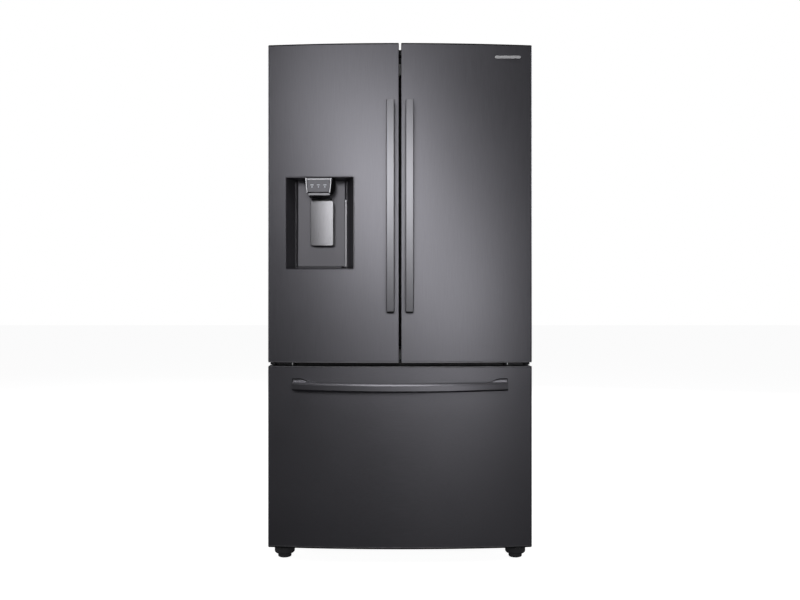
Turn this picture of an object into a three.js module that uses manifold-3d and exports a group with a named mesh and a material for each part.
// French door refrigerator, in millimetres: X to the right, -Y towards the user, +Z up.
// The origin is on the floor, in the middle of the object's outline.
import * as THREE from "three";
import { mergeVertices } from "three/addons/utils/BufferGeometryUtils.js";
import Module from "manifold-3d";

const wasm = await Module();
wasm.setup();

// Driving dimensions
const HALF_WIDTH = 454; // doors, from the middle to the outer edge
const APEX_Y = -401.5; // front of the bowed doors at the middle
const BOW = 30; // how far the outer edges fall back from the apex
const DOOR_BACK_Y = -310;
const CABINET_FRONT_Y = -297.5;
const CABINET_BACK_Y = 451;
const CABINET_HALF = 451;
const CABINET_TOP = 1750;
const BASE_Z = 46; // underside of the cabinet wrap
const DOOR_Z = [686, 1777];
const DRAWER_Z = [50.3, 673.5];
const DOOR_GAP = 3.65; // half the gap between the two doors
const EDGE_RADIUS = 6;
const GAP = 0.3; // clearance between touching pieces
const HINGE_X = 438;
const HINGE_Y = -340;
const FRIDGE = { half: 401, z: [728, 1690], back: 400 };
const FREEZER = { half: 396, z: [120, 632], back: 400, step: [150, 370] };
const MACHINE_ROOM = { front: 190, top: 330, half: 440 };
const HANDLE_FRONT_Y = -463.5;
const BACK_Y = 463.5;
const BOW_RADIUS = (HALF_WIDTH ** 2 + BOW ** 2) / (2 * BOW);
const SHEET = 1.5; // thickness of the cabinet's steel sheets
const FOLD = 20; // width of the wrap's folded front edge
const HINGE_PIN = { radius: 5.5, length: 26, hole: 7.5, eye: 12 };

// Colours of the finishes
const FINISH = {
  steel: [0x4a4a50, 0.36, 0.9],
  handle: [0x6f6f76, 0.3, 0.95],
  wrap: [0x3a3a3d, 0.5, 0.5],
  liner: [0xe9ebec, 0.35, 0.0],
  foam: [0xe2d6a8, 0.9, 0.0],
  zinc: [0x9ea3a6, 0.45, 0.8],
  blackPlastic: [0x18181a, 0.5, 0.0],
  darkPlastic: [0x3b3b3e, 0.4, 0.1],
  clear: [0xdfe8ea, 0.1, 0.0],
  rubber: [0x2a2a2c, 0.8, 0.0],
  copper: [0xb46a3c, 0.4, 0.9],
  lamp: [0xf6f4ea, 0.4, 0.0],
};

const fridge = new THREE.Group();

function frontY(x) {
  return APEX_Y + BOW_RADIUS - Math.sqrt(BOW_RADIUS ** 2 - x ** 2);
}

// Adds one named piece to the refrigerator.
function piece(name, geometry, finish) {
  const [color, roughness, metalness] = FINISH[finish];
  const mesh = new THREE.Mesh(geometry, new THREE.MeshStandardMaterial({ color, roughness, metalness }));
  mesh.name = name;
  fridge.add(mesh);
  return mesh;
}

// A block from its lowest to its highest corner.
function block(x, y, z) {
  const geometry = new THREE.BoxGeometry(x[1] - x[0], y[1] - y[0], z[1] - z[0]);
  return geometry.translate((x[0] + x[1]) / 2, (y[0] + y[1]) / 2, (z[0] + z[1]) / 2);
}

// A round bar along Z ("z"), X ("x") or Y ("y"), centred on a point.
function rod(radius, length, centre, along = "z", sides = 16) {
  const geometry = new THREE.CylinderGeometry(radius, radius, length, sides);
  if (along === "z") geometry.rotateX(Math.PI / 2);
  if (along === "x") geometry.rotateZ(Math.PI / 2);
  return geometry.translate(...centre);
}

// A flat outline in X and Y, raised between two heights.
function raised(points, z) {
  const shape = new THREE.Shape(points.map(([x, y]) => new THREE.Vector2(x, y)));
  return new THREE.ExtrudeGeometry(shape, { depth: z[1] - z[0], bevelEnabled: false }).translate(0, 0, z[0]);
}

function toSolid(geometry) {
  let plain = geometry.clone();
  for (const name of ["normal", "uv", "color"]) plain.deleteAttribute(name);
  plain = mergeVertices(plain, 1e-4);
  const vertProperties = new Float32Array(plain.attributes.position.array);
  const triVerts = new Uint32Array(plain.index.array);
  return new wasm.Manifold(new wasm.Mesh({ numProp: 3, vertProperties, triVerts }));
}

function toGeometry(solid) {
  const mesh = solid.getMesh();
  const geometry = new THREE.BufferGeometry();
  geometry.setAttribute("position", new THREE.BufferAttribute(new Float32Array(mesh.vertProperties), 3));
  geometry.setIndex(new THREE.BufferAttribute(new Uint32Array(mesh.triVerts), 1));
  return geometry;
}

// Joins the first list of geometries and cuts the second list out of them.
function shaped(joined, cut = []) {
  let solid = toSolid(joined[0]);
  for (const other of joined.slice(1)) solid = solid.add(toSolid(other));
  for (const other of cut) solid = solid.subtract(toSolid(other));
  return toGeometry(solid);
}

// An open box with walls of one thickness, its mouth facing up or towards the user.
function openBox(x, y, z, wall, mouth = "up") {
  const inner = [
    [x[0] + wall, x[1] - wall],
    [y[0] + wall, y[1] - wall],
    [z[0] + wall, z[1] - wall],
  ];
  if (mouth === "up") inner[2][1] = z[1] + 1;
  if (mouth === "front") inner[1][0] = y[0] - 1;
  return shaped([block(x, y, z)], [block(...inner)]);
}

// Mirrors a range on X for the right-hand twin of a left-hand piece.
function sided(side, x) {
  return side < 0 ? x : [-x[1], -x[0]];
}

// ---------------------------------------------------------------- cabinet

// The wrap is one folded sheet over the sides and top, open at the back and below.
function cabinetWrap() {
  const inside = CABINET_HALF - SHEET;
  return shaped(
    [block([-CABINET_HALF, CABINET_HALF], [CABINET_FRONT_Y, CABINET_BACK_Y], [BASE_Z, CABINET_TOP])],
    [
      block(
        [-inside, inside],
        [CABINET_FRONT_Y + SHEET, CABINET_BACK_Y + 1],
        [BASE_Z - 1, CABINET_TOP - SHEET],
      ),
      block(
        [-CABINET_HALF + FOLD, CABINET_HALF - FOLD],
        [CABINET_FRONT_Y - 1, CABINET_FRONT_Y + SHEET + 1],
        [BASE_Z - 1, CABINET_TOP - FOLD],
      ),
    ],
  );
}

const LINER_WALL = 3;
const FLANGE_HALF = 430.7;
const LINER_SPLIT_Z = 680; // where the two liners' flanges meet
const CABINET_FLOOR_Z = 62; // lowest edge of the freezer liner and the foam

function fridgeLiner() {
  const [low, high] = FRIDGE.z;
  const out = FRIDGE.half + LINER_WALL;
  const front = CABINET_FRONT_Y;
  const flangeZ = [LINER_SPLIT_Z + GAP, CABINET_TOP - FOLD - GAP];
  return shaped(
    [
      block([-out, out], [front, FRIDGE.back + LINER_WALL], [low - LINER_WALL, high + LINER_WALL]),
      block([-FLANGE_HALF, FLANGE_HALF], [front, front + LINER_WALL], flangeZ),
    ],
    [block([-FRIDGE.half, FRIDGE.half], [front - 1, FRIDGE.back], FRIDGE.z)],
  );
}

// The freezer's room: its rear floor is raised over the machine room.
function freezerHollow(grow, front) {
  const [low, high] = FREEZER.z;
  const [stepY, stepZ] = FREEZER.step;
  const half = FREEZER.half + grow;
  const lower = block([-half, half], [front, stepY + grow], [low - grow, high + grow]);
  const upper = block([-half, half], [stepY - 10, FREEZER.back + grow], [stepZ - grow, high + grow]);
  return [lower, upper];
}

function freezerLiner() {
  const front = CABINET_FRONT_Y;
  const flangeZ = [CABINET_FLOOR_Z, LINER_SPLIT_Z - GAP];
  const flange = block([-FLANGE_HALF, FLANGE_HALF], [front, front + LINER_WALL], flangeZ);
  return shaped([...freezerHollow(LINER_WALL, front), flange], freezerHollow(0, front - 1));
}

// Foam fills the room between the wrap and the two liners, above the machine room.
function foamInsulation() {
  const inside = CABINET_HALF - SHEET - GAP;
  const front = CABINET_FRONT_Y + LINER_WALL + GAP;
  const back = CABINET_BACK_Y - 1;
  const liner = LINER_WALL + GAP;
  const out = FRIDGE.half + liner;
  return shaped(
    [block([-inside, inside], [front, back], [CABINET_FLOOR_Z, CABINET_TOP - SHEET - GAP])],
    [
      block([-out, out], [front - 1, FRIDGE.back + liner], [FRIDGE.z[0] - liner, FRIDGE.z[1] + liner]),
      ...freezerHollow(liner, front - 1),
      block(
        [-MACHINE_ROOM.half, MACHINE_ROOM.half],
        [MACHINE_ROOM.front, back + 1],
        [CABINET_FLOOR_Z - 1, MACHINE_ROOM.top],
      ),
    ],
  );
}

// The machine room cover is a pressed sheet with rows of slots for air.
const COVER = { half: 436, z: [BASE_Z + 6, MACHINE_ROOM.top + 10] };
const VENT = { x: [-400, -160], z: 110, height: 8, pitch: 30, rows: 6 };

function machineCover() {
  const slots = [];
  for (let row = 0; row < VENT.rows; row += 1) {
    const bottom = VENT.z + row * VENT.pitch;
    for (const side of [-1, 1]) {
      slots.push(block(sided(side, VENT.x), [BACK_Y - 6, BACK_Y + 1], [bottom, bottom + VENT.height]));
    }
  }
  const depth = [CABINET_BACK_Y + SHEET + GAP, BACK_Y];
  const shell = openBox([-COVER.half, COVER.half], depth, COVER.z, SHEET, "front");
  return shaped([shell], slots);
}

// The base tray closes the cabinet below and reaches forward under the drawer to carry the feet.
const TRAY_Z = [38, BASE_Z - GAP];
const TONGUE = { x: [-446, -364], y: [-322, -290] };

function baseTray() {
  const tongues = [-1, 1].map((side) => block(sided(side, TONGUE.x), TONGUE.y, TRAY_Z));
  const tray = block([-CABINET_HALF, CABINET_HALF], [CABINET_FRONT_Y, CABINET_BACK_Y], TRAY_Z);
  return shaped([tray, ...tongues]);
}

// A compressor: a domed pot on a foot plate.
const COMPRESSOR = { x: 250, y: 325, plate: { x: [160, 340], y: [245, 405], z: [56, 63] } };

function compressor() {
  const profile = [
    [0, 60],
    [70, 60],
    [78, 70],
    [78, 190],
    [66, 226],
    [30, 240],
    [0, 242],
  ].map(([r, z]) => new THREE.Vector2(r, z));
  const { x, y, plate } = COMPRESSOR;
  const pot = new THREE.LatheGeometry(profile, 24).rotateX(Math.PI / 2).translate(x, y, 0);
  return shaped([pot, block(plate.x, plate.y, plate.z)]);
}

// A tube bent to and fro: straight runs joined by half circles.
function serpentine(radius, start, run, pitch, rows, across) {
  const path = new THREE.CurvePath();
  let from = start.clone();
  let direction = 1;
  for (let row = 0; row < rows; row += 1) {
    const to = from.clone().addScaledVector(run, direction);
    path.add(new THREE.LineCurve3(from, to));
    if (row < rows - 1) {
      const next = to.clone().add(pitch);
      const lead = run.clone().normalize().multiplyScalar(direction * across);
      path.add(new THREE.CubicBezierCurve3(to, to.clone().add(lead), next.clone().add(lead), next));
      from = next;
      direction = -direction;
    }
  }
  const points = [];
  for (const curve of path.curves) {
    const steps = curve instanceof THREE.LineCurve3 ? 1 : 6;
    for (const point of curve.getPoints(steps)) {
      if (!points.length || points.at(-1).distanceTo(point) > 0.01) points.push(point);
    }
  }
  return tubeThrough(points, radius);
}

// A round tube through a list of points, square to the path at each of them.
function tubeThrough(points, radius) {
  const sides = 8;
  const smooth = new THREE.CatmullRomCurve3(points, false, "catmullrom", 0.02);
  const section = new THREE.Shape();
  for (let i = 0; i < sides; i += 1) {
    const angle = (i / sides) * Math.PI * 2;
    const x = Math.cos(angle) * radius;
    const y = Math.sin(angle) * radius;
    if (i === 0) section.moveTo(x, y);
    else section.lineTo(x, y);
  }
  smooth.getPointAt = smooth.getPoint;
  smooth.getTangentAt = smooth.getTangent;
  const steps = points.length - 1;
  return new THREE.ExtrudeGeometry(section, { steps, extrudePath: smooth, bevelEnabled: false });
}

const COIL = { radius: 5, rows: 7 };

function condenserCoil() {
  const start = new THREE.Vector3(-400, 330, 90);
  const run = new THREE.Vector3(230, 0, 0);
  const pitch = new THREE.Vector3(0, 0, 30);
  return serpentine(COIL.radius, start, run, pitch, COIL.rows, 18);
}

function evaporatorCoil() {
  const start = new THREE.Vector3(-300, 355, 400);
  const run = new THREE.Vector3(600, 0, 0);
  const pitch = new THREE.Vector3(0, 0, 32);
  return serpentine(COIL.radius, start, run, pitch, COIL.rows, 19);
}

// The fan draws air over the condenser: a hub with five blades, turning about Y.
const FAN = { x: 40, y: 330, z: 180, hub: 18, depth: 24, blades: 5, blade: [26, 3, 46], pitch: 0.5 };

function condenserFan() {
  const blades = [];
  const reach = FAN.hub - 3 + FAN.blade[2] / 2;
  for (let i = 0; i < FAN.blades; i += 1) {
    const blade = new THREE.BoxGeometry(...FAN.blade).rotateZ(FAN.pitch).translate(0, 0, reach);
    blades.push(blade.rotateY((i / FAN.blades) * Math.PI * 2).translate(FAN.x, FAN.y, FAN.z));
  }
  return shaped([rod(FAN.hub, FAN.depth, [FAN.x, FAN.y, FAN.z], "y", 16), ...blades]);
}

// The duct panels stand in front of the back wall, with slots for cold air.
function ductPanel(half, y, z, slotRows) {
  const slots = [];
  const margin = 40;
  const slotHalf = 5;
  const pitch = (z[1] - z[0]) / (slotRows + 1);
  for (let row = 1; row <= slotRows; row += 1) {
    const centre = z[0] + row * pitch;
    const slotZ = [centre - slotHalf, centre + slotHalf];
    slots.push(block([-half + margin, half - margin], [y[0] - 1, y[1] + 1], slotZ));
  }
  return shaped([block([-half, half], y, z)], slots);
}

// The plastic cover over the hinges' arms and the wiring, across the cabinet's top.
function topCover() {
  return block([-CABINET_HALF, CABINET_HALF], [-290, -180], [CABINET_TOP + 5, 1777.5]);
}

// The upper hinge: an arm on the cabinet's top with a pin down into the door.
function upperHinge(side) {
  const x = side * HINGE_X;
  const armZ = [CABINET_TOP + GAP, CABINET_TOP + 4];
  const { eye: half, radius, length } = HINGE_PIN;
  const arm = block([x - half, x + half], [HINGE_Y, -200], armZ);
  const eye = rod(half, armZ[1] - armZ[0], [x, HINGE_Y, (armZ[0] + armZ[1]) / 2], "z", 24);
  const pin = rod(radius, length, [x, HINGE_Y, CABINET_TOP - 12], "z", 16);
  return shaped([arm, eye, pin]);
}

// The middle hinge: a plate on the cabinet's front with a pin up into the door.
function middleHinge(side) {
  const x = side * HINGE_X;
  const plateX = sided(side, [-450, -400]);
  const plateZ = [677, 683];
  const back = CABINET_FRONT_Y - GAP;
  const plate = block(plateX, [HINGE_Y, back], plateZ);
  const eye = rod(HINGE_PIN.eye, plateZ[1] - plateZ[0], [x, HINGE_Y, LINER_SPLIT_Z], "z", 24);
  const pin = rod(HINGE_PIN.radius, HINGE_PIN.length, [x, HINGE_Y, LINER_SPLIT_Z + 12], "z", 16);
  const foot = block(plateX, [-301, back], [664, plateZ[1]]);
  return shaped([plate, eye, pin, foot]);
}

// A glass shelf in a moulded frame, open in the middle for the glass's own thickness.
function shelf(x, y, z) {
  const rim = 12;
  const top = block([x[0] + rim, x[1] - rim], [y[0] + rim, y[1] - rim], [z[1] - 3, z[1] + 1]);
  const under = block([x[0] + rim, x[1] - rim], [y[0] + rim, y[1] - rim], [z[0] - 1, z[0] + 4]);
  return shaped([block(x, y, z)], [top, under]);
}

const SHELF_HALF = FRIDGE.half - GAP;
const SHELF_Y = [-175, 370];
const SHELF_THICK = 14;

function shelfRange(bottom) {
  return [bottom, bottom + SHELF_THICK];
}

function addCabinet() {
  piece("cabinet_wrap", cabinetWrap(), "wrap");
  piece("foam_insulation", foamInsulation(), "foam");
  piece("fridge_liner", fridgeLiner(), "liner");
  piece("freezer_liner", freezerLiner(), "liner");
  const backY = [CABINET_BACK_Y + GAP, CABINET_BACK_Y + SHEET];
  const backZ = [COVER.z[1] + 5, CABINET_TOP];
  piece("back_panel", block([-CABINET_HALF, CABINET_HALF], backY, backZ), "zinc");
  piece("machine_cover", machineCover(), "zinc");
  piece("base_tray", baseTray(), "zinc");
  piece("top_cover", topCover(), "blackPlastic");
  piece("compressor", compressor(), "blackPlastic");
  piece("condenser_coil", condenserCoil(), "copper");
  piece("evaporator_coil", evaporatorCoil(), "zinc");
  piece("condenser_fan", condenserFan(), "darkPlastic");
  piece("air_duct_panel", ductPanel(140, [376, 399.7], [940, 1430], 6), "liner");
  piece("freezer_duct_panel", ductPanel(380, [318, 330], [375, 628], 3), "liner");
  for (const [name, side] of [["left", -1], ["right", 1]]) {
    piece(`upper_hinge_${name}`, upperHinge(side), "zinc");
    piece(`middle_hinge_${name}`, middleHinge(side), "zinc");
  }
  const ceiling = FRIDGE.z[1] - GAP;
  piece("shelf_left", shelf([-SHELF_HALF, -8], SHELF_Y, shelfRange(1180)), "clear");
  piece("shelf_right", shelf([8, SHELF_HALF], SHELF_Y, shelfRange(1330)), "clear");
  piece("crisper_shelf", shelf([-SHELF_HALF, SHELF_HALF], [SHELF_Y[0], 300], shelfRange(905)), "clear");
  piece("ice_room", openBox([-SHELF_HALF, -150], [-150, 250], [1450, ceiling], 6, "front"), "liner");
  piece("ceiling_light", block([-60, 60], [-110, -20], [ceiling - 9.7, ceiling]), "lamp");
}

// ---------------------------------------------------------------- doors and drawer front

// A door seen from above: bowed front, rounded outer corner, flat back.
function doorOutline(from, to, roundStart, roundEnd) {
  const points = [];
  const steps = 12;
  const inset = [roundStart ? EDGE_RADIUS : 0, roundEnd ? EDGE_RADIUS : 0];
  if (roundStart) points.push(...corner(from, 1));
  for (let i = 0; i <= steps; i += 1) {
    const x = from + inset[0] + ((to - inset[1] - from - inset[0]) * i) / steps;
    points.push([x, frontY(x)]);
  }
  if (roundEnd) points.push(...corner(to, -1).reverse());
  points.push([to, DOOR_BACK_Y], [from, DOOR_BACK_Y]);
  return points;
}

// The rounded front corner of a door's outer edge, from the side round to the front.
function corner(edge, inward) {
  const centreX = edge + inward * EDGE_RADIUS;
  const centreY = frontY(centreX) + EDGE_RADIUS;
  return [0, 1, 2].map((i) => {
    const angle = (i / 3) * (Math.PI / 2);
    return [centreX - inward * EDGE_RADIUS * Math.cos(angle), centreY - EDGE_RADIUS * Math.sin(angle)];
  });
}

const GASKET_INSET = 20;
const GASKET_WIDTH = 14;
const GASKET_Y = [DOOR_BACK_Y + GAP, CABINET_FRONT_Y - GAP];

// A ring of gasket round the door's back, and the inner liner with its raised ribs inside it.
function gasket(x, z) {
  const inner = block(
    [x[0] + GASKET_WIDTH, x[1] - GASKET_WIDTH],
    [GASKET_Y[0] - 1, GASKET_Y[1] + 1],
    [z[0] + GASKET_WIDTH, z[1] - GASKET_WIDTH],
  );
  return shaped([block(x, GASKET_Y, z)], [inner]);
}

const RIB_BACK_Y = -262;

function doorLiner(gasketX, gasketZ, ribX, ribZ, ribBack = RIB_BACK_Y, extra = [], cut = []) {
  const edge = GASKET_WIDTH + GAP;
  const sheet = block(
    [gasketX[0] + edge, gasketX[1] - edge],
    [DOOR_BACK_Y + GAP, DOOR_BACK_Y + 2.5],
    [gasketZ[0] + edge, gasketZ[1] - edge],
  );
  const ribs = block(ribX, [DOOR_BACK_Y + GAP, ribBack], ribZ);
  const width = 18;
  const between = block(
    [ribX[0] + width, ribX[1] - width],
    [DOOR_BACK_Y - 1, ribBack + 1],
    [ribZ[0] + width, ribZ[1] - width],
  );
  const frame = shaped([ribs], [between]);
  return shaped([sheet, frame, ...extra], cut);
}

// The dispenser recess narrows towards its back; the same shape cuts the door and makes the tub.
const RECESS = {
  x: [-394.6, -161.4],
  back: [-359.6, -192.3],
  z: [1007.3, 1320],
  mouthY: -390,
  backY: -288,
};
const RECESS_WALL = 3;

function recessShape(grow, startY) {
  const share = (at) => (at - RECESS.mouthY) / (RECESS.backY - RECESS.mouthY);
  const slope = (at, front, back) => front + (back - front) * share(at);
  const ends = [startY, RECESS.backY + grow];
  const outline = [
    [slope(ends[0], RECESS.x[0], RECESS.back[0]) - grow, ends[0]],
    [slope(ends[0], RECESS.x[1], RECESS.back[1]) + grow, ends[0]],
    [slope(ends[1], RECESS.x[1], RECESS.back[1]) + grow, ends[1]],
    [slope(ends[1], RECESS.x[0], RECESS.back[0]) - grow, ends[1]],
  ];
  return raised(outline, [RECESS.z[0] - grow, RECESS.z[1] + grow]);
}

const BULGE = { x: [-385, -168], z: [985, 1345], y: -254 };

// The pocket in a door's top and the holes for the hinge pins.
function hingePockets(side) {
  const pocketZ = [CABINET_TOP - 5, DOOR_Z[1] + 1];
  return [
    block(sided(side, [-HALF_WIDTH - 6, -419]), [-362, -300], pocketZ),
    rod(HINGE_PIN.hole, 40, [side * HINGE_X, HINGE_Y, pocketZ[0]], "z", 20),
    rod(HINGE_PIN.hole, 40, [side * HINGE_X, HINGE_Y, DOOR_Z[0] + 4], "z", 20),
  ];
}

// The door's shell; the left one is cut through for the recess, with a bulge behind to house it.
function doorPanel(side) {
  const x = sided(side, [-HALF_WIDTH, -DOOR_GAP]);
  const slab = raised(doorOutline(x[0], x[1], side < 0, side > 0), DOOR_Z);
  if (side > 0) return shaped([slab], hingePockets(side));
  const bulge = block(BULGE.x, [DOOR_BACK_Y - 5, BULGE.y], BULGE.z);
  return shaped([slab, bulge], [...hingePockets(side), recessShape(RECESS_WALL + GAP, -420)]);
}

// The recess tub: walls inside the door's cut-out, its front edge following the bowed door.
function dispenserRecess() {
  const within = raised(doorOutline(-HALF_WIDTH, -DOOR_GAP, false, false), DOOR_Z);
  const deeper = block([-440, -100], [DOOR_BACK_Y - 1, -250], [990, 1340]);
  const limit = toSolid(within).add(toSolid(deeper));
  const walls = toSolid(recessShape(RECESS_WALL, -415)).intersect(limit);
  return toGeometry(walls.subtract(toSolid(recessShape(0, -420))));
}

// The dispenser head hangs under the recess's ceiling: a tapered box with two nozzles below it.
const HEAD = { x: [-325, -234], y: [-386, -332], z: [1258, 1316.7] };

function dispenserHead() {
  const taper = 6;
  const outline = new THREE.Shape([
    new THREE.Vector2(HEAD.x[0] + taper, HEAD.z[0]),
    new THREE.Vector2(HEAD.x[1] - taper, HEAD.z[0]),
    new THREE.Vector2(HEAD.x[1], RECESS.z[1] - GAP),
    new THREE.Vector2(HEAD.x[0], RECESS.z[1] - GAP),
  ]);
  const depth = HEAD.y[1] - HEAD.y[0];
  const body = new THREE.ExtrudeGeometry(outline, { depth, bevelEnabled: false });
  body.rotateX(Math.PI / 2).translate(0, HEAD.y[1], 0);
  const middle = (HEAD.x[0] + HEAD.x[1]) / 2;
  const nozzles = [
    rod(16, 14, [middle, -362, HEAD.z[0] - 5], "z", 20),
    rod(5, 14, [middle - 26, -370, HEAD.z[0] - 5], "z", 12),
  ];
  return shaped([body, ...nozzles]);
}

// The paddle hangs on lugs at the recess's back and is pushed by the glass.
const PADDLE = { x: [-313, -233], y: [-323, -318], z: [1090, 1247], pivot: [-314, 1252] };

function paddle() {
  const outline = roundedOutline(PADDLE.x, PADDLE.z, 5);
  const plate = new THREE.ExtrudeGeometry(outline, { depth: PADDLE.y[1] - PADDLE.y[0], bevelEnabled: false });
  plate.rotateX(Math.PI / 2).translate(0, PADDLE.y[1], 0);
  const middle = (PADDLE.x[0] + PADDLE.x[1]) / 2;
  const [pivotY, pivotZ] = PADDLE.pivot;
  const arm = block([middle - 30, middle + 30], [PADDLE.y[1] - 2, pivotY + 3], [1225, pivotZ]);
  return shaped([plate, arm, rod(3.5, 70, [middle, pivotY, pivotZ], "x", 12)]);
}

function roundedOutline(x, z, radius) {
  const shape = new THREE.Shape();
  const ends = [
    [x[0], z[0], Math.PI],
    [x[1], z[0], 1.5 * Math.PI],
    [x[1], z[1], 0],
    [x[0], z[1], 0.5 * Math.PI],
  ];
  const points = [];
  for (const [cornerX, cornerZ, start] of ends) {
    const centreX = cornerX + (cornerX === x[0] ? radius : -radius);
    const centreZ = cornerZ + (cornerZ === z[0] ? radius : -radius);
    for (let i = 0; i <= 3; i += 1) {
      const angle = start + (i / 3) * (Math.PI / 2);
      points.push(new THREE.Vector2(centreX + radius * Math.cos(angle), centreZ + radius * Math.sin(angle)));
    }
  }
  return shape.setFromPoints(points);
}

function dripTray() {
  const x = [-356, -196];
  const z = [RECESS.z[0] + GAP, RECESS.z[0] + 10];
  return openBox(x, [-376, RECESS.backY - GAP], z, 2.5);
}

const TUB_WALL = 3;
const BIN = { x: [-374.7, -72.3], y: [-304, -200] };

// A bin on the door's inside: an open tray between the liner's ribs.
function doorBin(side, z) {
  return openBox(sided(side, BIN.x), BIN.y, z, TUB_WALL);
}

// A bowed bar on two posts: its side profile is swept across its width, with small bevels.
const BAR = { width: 26, thick: 12, bevel: 4, post: 60, postFace: 42 };

function barProfile(length, standEnd, standMiddle, back) {
  const half = length / 2;
  const front = (along) => standMiddle - (standMiddle - standEnd) * (along / half) ** 2;
  const points = [];
  const steps = 16;
  for (let i = 0; i <= steps; i += 1) {
    const along = -half + (length * i) / steps;
    points.push([along, front(along)]);
  }
  const face = half - BAR.postFace;
  points.push([half, back(half)], [face, back(face)]);
  for (let i = 0; i <= steps; i += 1) {
    const along = half - BAR.post - ((length - 2 * BAR.post) * i) / steps;
    points.push([along, front(along) - BAR.thick]);
  }
  points.push([-face, back(face)], [-half, back(half)]);
  return points;
}

// The bar's solid, lying along X with its outward side along Y.
function sweptBar(profile, width) {
  const shape = new THREE.Shape(profile.map(([along, out]) => new THREE.Vector2(along, out)));
  const flat = width - 2 * BAR.bevel;
  const options = {
    depth: flat,
    bevelEnabled: true,
    bevelThickness: BAR.bevel,
    bevelSize: BAR.bevel,
    bevelOffset: -BAR.bevel,
    bevelSegments: 1,
  };
  return new THREE.ExtrudeGeometry(shape, options).translate(0, 0, -flat / 2);
}

const UPRIGHT = { x: 32.5, z: [861.6, 1572.3], reach: 52 };

function uprightHandle(side) {
  const length = UPRIGHT.z[1] - UPRIGHT.z[0];
  const surface = -frontY(UPRIGHT.x - BAR.width / 2) + GAP;
  const profile = barProfile(length, surface + UPRIGHT.reach, -HANDLE_FRONT_Y, () => surface);
  const bar = sweptBar(profile, BAR.width);
  // the profile's length becomes height and its outward side faces the user
  bar.applyMatrix4(new THREE.Matrix4().makeBasis(
    new THREE.Vector3(0, 0, 1),
    new THREE.Vector3(0, -1, 0),
    new THREE.Vector3(1, 0, 0),
  ));
  return bar.translate(side * UPRIGHT.x, 0, (UPRIGHT.z[0] + UPRIGHT.z[1]) / 2);
}

const LEVEL = { half: 365, z: 608, width: 28, droop: 4.5, reach: 49 };

function levelHandle() {
  const surface = (along) => -frontY(along) + GAP;
  const profile = barProfile(LEVEL.half * 2, surface(LEVEL.half) + LEVEL.reach, -HANDLE_FRONT_Y, surface);
  const bar = sweptBar(profile, LEVEL.width);
  bar.applyMatrix4(new THREE.Matrix4().makeBasis(
    new THREE.Vector3(1, 0, 0),
    new THREE.Vector3(0, -1, 0),
    new THREE.Vector3(0, 0, -1),
  ));
  const position = bar.attributes.position;
  for (let i = 0; i < position.count; i += 1) {
    const away = position.getX(i) / LEVEL.half;
    position.setZ(i, position.getZ(i) - LEVEL.droop * (1 - away ** 2));
  }
  return bar.translate(0, 0, LEVEL.z);
}

// The flipper bar hangs on the left door's edge and closes the gap between the doors from behind.
const FLIPPER = { x: [-42, 1], y: [CABINET_FRONT_Y, -280], z: [738, 1682], pivot: [-46, -289] };

function flipperBar() {
  const outline = [
    [FLIPPER.x[0], FLIPPER.y[0]],
    [FLIPPER.x[1], FLIPPER.y[0]],
    [FLIPPER.x[1] - 3, FLIPPER.y[1]],
    [FLIPPER.x[0], FLIPPER.y[1]],
  ];
  const height = FLIPPER.z[1] - FLIPPER.z[0];
  const barrel = rod(4.5, height, [...FLIPPER.pivot, (FLIPPER.z[0] + FLIPPER.z[1]) / 2], "z", 12);
  return shaped([raised(outline, FLIPPER.z), barrel]);
}

// Two lugs on the left door's liner that hold the bar's barrel at its ends.
function flipperLugs() {
  const reach = [-60, -41.5];
  const y = [-294, -284];
  const [low, high] = FLIPPER.z;
  return [block(reach, y, [low - 7, low - 1]), block(reach, y, [high + 1, high + 7])];
}

// Where each front's gasket and liner ribs stand.
const DOOR_BACK = { gasketZ: [703, 1722], ribX: [-393, -54], ribZ: [732, 1686] };
const DRAWER_BACK = { gasketZ: [74, 660], ribX: [-388, 388], ribZ: [128, 624], ribY: -300 };

function addDoor(name, side) {
  const gasketX = sided(side, [-HALF_WIDTH + GASKET_INSET, -DOOR_GAP - GASKET_INSET]);
  const { gasketZ, ribZ } = DOOR_BACK;
  const ribX = sided(side, DOOR_BACK.ribX);
  piece(`${name}_door_panel`, doorPanel(side), "steel");
  let liner = doorLiner(gasketX, gasketZ, ribX, ribZ);
  if (side < 0) {
    const cover = 2;
    const hood = block(
      [BULGE.x[0] - cover - GAP, BULGE.x[1] + cover + GAP],
      [DOOR_BACK_Y + GAP, BULGE.y + cover + GAP],
      [BULGE.z[0] - cover - GAP, BULGE.z[1] + cover + GAP],
    );
    const room = block(
      [BULGE.x[0] - GAP, BULGE.x[1] + GAP],
      [DOOR_BACK_Y - 1, BULGE.y + GAP],
      [BULGE.z[0] - GAP, BULGE.z[1] + GAP],
    );
    liner = doorLiner(gasketX, gasketZ, ribX, ribZ, RIB_BACK_Y, [hood, ...flipperLugs()], [room]);
  }
  piece(`${name}_door_liner`, liner, "liner");
  piece(`${name}_gasket`, gasket(gasketX, gasketZ), "rubber");
  piece(`${name}_handle`, uprightHandle(side), "handle");
}

// A plain plate near the right door's upper corner.
function makerPlate() {
  const x = [325, 413];
  const front = frontY(x[0]) - 1.8;
  return block(x, [front, front + 0.8], [1727, 1737]);
}

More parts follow.
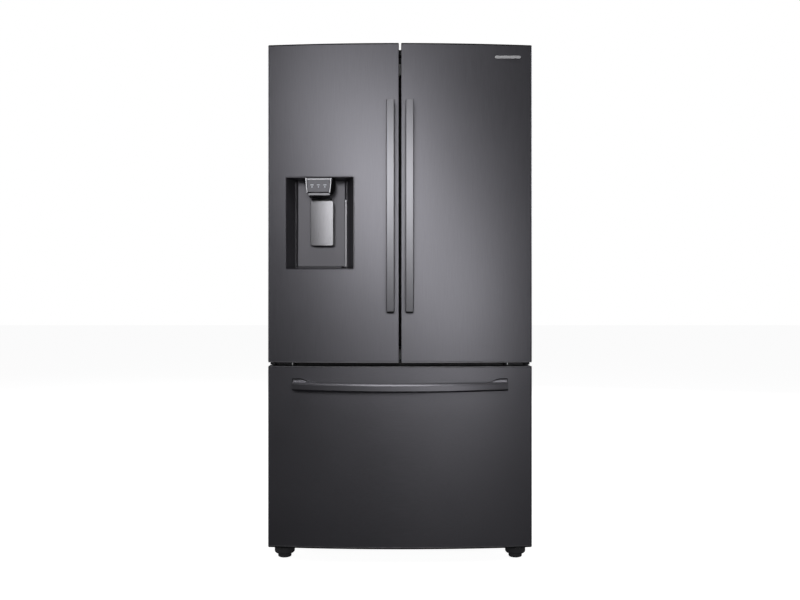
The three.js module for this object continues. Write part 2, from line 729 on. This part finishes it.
function addDoors() {
  addDoor("left", -1);
  addDoor("right", 1);
  piece("dispenser_recess", dispenserRecess(), "darkPlastic");
  piece("dispenser_head", dispenserHead(), "darkPlastic");
  piece("drip_tray", dripTray(), "darkPlastic");
  piece("paddle", paddle(), "handle");
  piece("flipper_bar", flipperBar(), "darkPlastic");
  piece("left_bin_lower", doorBin(-1, [925, 982]), "clear");
  piece("left_bin_upper", doorBin(-1, [1400, 1490]), "clear");
  piece("right_bin_lower", doorBin(1, [925, 1030]), "clear");
  piece("right_bin_middle", doorBin(1, [1180, 1285]), "clear");
  piece("right_bin_upper", doorBin(1, [1430, 1520]), "clear");
  piece("maker_plate", makerPlate(), "handle");
}

// ---------------------------------------------------------------- freezer drawer

const RAIL_Z = [425, 460];
const BASKET = { half: 354, rim: 365, y: [-288, 140], z: [150, 417] };
const INNER_RAIL = { x: [-374.7, -366], y: [-299.7, 130], ledgeX: [-370, -357], ledgeZ: [408, 413] };

// The basket is a deep tray whose rim rests on the inner rails' ledges.
function freezerBasket() {
  const { half, y, z } = BASKET;
  const rim = block([-BASKET.rim, BASKET.rim], y, [z[1] - 3.7, z[1]]);
  const hollow = block(
    [-half + TUB_WALL, half - TUB_WALL],
    [y[0] + TUB_WALL, y[1] - TUB_WALL],
    [z[0] + TUB_WALL, z[1] + 1],
  );
  return shaped([block([-half, half], y, z), rim], [hollow]);
}

// The inner rail is bolted to the drawer's back and carries the basket on its ledge.
function innerRail(side) {
  const { x, y, ledgeX, ledgeZ } = INNER_RAIL;
  const web = block(sided(side, x), y, [ledgeZ[0], RAIL_Z[1]]);
  const ledge = block(sided(side, ledgeX), y, ledgeZ);
  return shaped([web, ledge]);
}

// The upper tray slides on the drawer's motion, above the basket.
function upperTray() {
  return openBox([-350, 350], [-258, 180], [475, 600], TUB_WALL);
}

// The crispers run on the fridge liner's floor, under the glass shelf.
function crisper(side) {
  return openBox(sided(side, [-399, -5]), [-150, 280], [745, 900], TUB_WALL);
}

function addFreezer() {
  const gasketX = [-HALF_WIDTH + GASKET_INSET, HALF_WIDTH - GASKET_INSET];
  const { gasketZ, ribX, ribZ, ribY } = DRAWER_BACK;
  const outline = doorOutline(-HALF_WIDTH, HALF_WIDTH, true, true);
  piece("drawer_panel", raised(outline, DRAWER_Z), "steel");
  piece("drawer_liner", doorLiner(gasketX, gasketZ, ribX, ribZ, ribY), "liner");
  piece("drawer_gasket", gasket(gasketX, gasketZ), "rubber");
  piece("drawer_handle", levelHandle(), "handle");
  piece("freezer_basket", freezerBasket(), "clear");
  piece("freezer_tray", upperTray(), "clear");
  for (const [name, side] of [["left", -1], ["right", 1]]) {
    piece(`rail_outer_${name}`, block(sided(side, [-395.7, -384.3]), [-290, 148], RAIL_Z), "zinc");
    piece(`rail_middle_${name}`, block(sided(side, [-384, -375]), [-288, 140], [429, 456]), "zinc");
    piece(`rail_inner_${name}`, innerRail(side), "zinc");
  }
  piece("crisper_left", crisper(-1), "clear");
  piece("crisper_right", crisper(1), "clear");
}

// ---------------------------------------------------------------- feet and rollers

const LEG = { x: 405, y: -298 };

// A levelling foot: pad, bowl-shaped flange and threaded stem, turned from one profile.
function levellingFoot() {
  const profile = [
    [0, 0],
    [21, 0],
    [23.5, 3],
    [23.5, 13],
    [31, 15.5],
    [35, 21],
    [35, 37.7],
    [0, 37.7],
  ].map(([r, z]) => new THREE.Vector2(r, z));
  return new THREE.LatheGeometry(profile, 24).rotateX(Math.PI / 2);
}

const ROLLER = { x: 380, y: 330, radius: 18.5, width: 22 };

// A rear wheel whose flat sides touch the floor at its radius.
function roller() {
  const sides = 24;
  const reach = ROLLER.radius / Math.cos(Math.PI / sides);
  const wheel = new THREE.CylinderGeometry(reach, reach, ROLLER.width, sides).rotateY(Math.PI / sides);
  return wheel.rotateZ(Math.PI / 2).translate(0, 0, ROLLER.radius);
}

function addFeet() {
  for (const [name, side] of [["left", -1], ["right", 1]]) {
    piece(`foot_${name}`, levellingFoot(), "blackPlastic").position.set(side * LEG.x, LEG.y, 0);
    piece(`roller_${name}`, roller(), "blackPlastic").position.set(side * ROLLER.x, ROLLER.y, 0);
  }
}

addCabinet();
addDoors();
addFreezer();
addFeet();

export default fridge;
